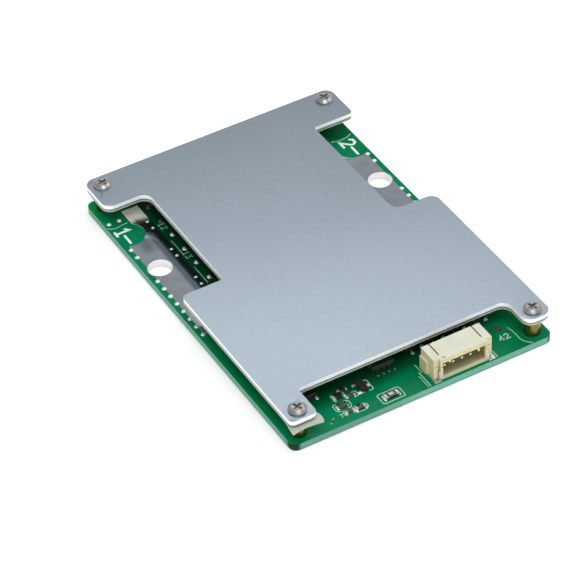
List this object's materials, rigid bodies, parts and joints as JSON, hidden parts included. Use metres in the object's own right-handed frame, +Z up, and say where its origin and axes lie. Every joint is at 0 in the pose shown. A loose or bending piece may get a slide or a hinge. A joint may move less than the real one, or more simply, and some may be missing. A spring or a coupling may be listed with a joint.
{
  "type": "battery management board",
  "caption": "Flat battery management board: green circuit board with bolt-through terminals, power transistors, a side-entry header and a notched heat plate on spacers.",
  "frame": {"origin": "middle of the circuit board's underside", "axes": "+X to the right with the header's edge in front, +Y along the board away from the header's edge, +Z up through the heat plate"},
  "size_m": [0.06, 0.0873, 0.0084],
  "materials": {
    "solder_mask": "glossy green solder mask over glass-fibre laminate",
    "satin_aluminium": "satin, fine scuffs",
    "white_film": "milky, slightly see-through film",
    "nickel": "bright nickel plate",
    "brass": "turned, dull",
    "tinned_copper": "bright levelled tin",
    "solder": "bright solder",
    "alloy_strip": "dark alloy",
    "copper": "dull copper",
    "ivory_nylon": "ivory, faint sheen",
    "contact_metal": "tin-plated brass",
    "tinned_steel": "matt tin plate",
    "black_epoxy": "fine matt moulding",
    "resistor_glaze": "black glaze",
    "brown_ceramic": "tan ceramic",
    "dull_tin": "dull grey tin"
  },
  "bodies": {
    "root": {"circuit_board": "solder_mask", "heat_plate": "satin_aluminium", "insulating_sheet": "white_film", "plate_screws": "nickel", "brass_spacers": "brass", "left_terminal": "tinned_copper", "right_terminal": "tinned_copper", "filled_vias": "solder", "lead_joints": "solder", "sense_strips": "alloy_strip", "sense_ends": "copper", "header_housing": "ivory_nylon", "header_pins": "contact_metal", "header_tabs": "tinned_steel", "protection_chip_leads": "tinned_steel", "small_transistor_leads": "tinned_steel", "resistor_ends": "tinned_steel", "capacitor_ends": "tinned_steel", "protection_chip": "black_epoxy", "small_transistor_bodies": "black_epoxy", "resistor_bodies": "resistor_glaze", "capacitor_bodies": "brown_ceramic", "test_pad": "dull_tin", "transistor_body_1": "black_epoxy", "transistor_body_2": "black_epoxy", "transistor_body_3": "black_epoxy", "transistor_body_4": "black_epoxy", "transistor_body_5": "black_epoxy", "transistor_body_6": "black_epoxy", "transistor_body_7": "black_epoxy", "transistor_body_8": "black_epoxy", "transistor_body_9": "black_epoxy", "transistor_body_10": "black_epoxy", "transistor_body_11": "black_epoxy", "transistor_body_12": "black_epoxy", "transistor_frame_1": "tinned_steel", "transistor_frame_2": "tinned_steel", "transistor_frame_3": "tinned_steel", "transistor_frame_4": "tinned_steel", "transistor_frame_5": "tinned_steel", "transistor_frame_6": "tinned_steel", "transistor_frame_7": "tinned_steel", "transistor_frame_8": "tinned_steel", "transistor_frame_9": "tinned_steel", "transistor_frame_10": "tinned_steel", "transistor_frame_11": "tinned_steel", "transistor_frame_12": "tinned_steel"}
  },
  "joints": []
}
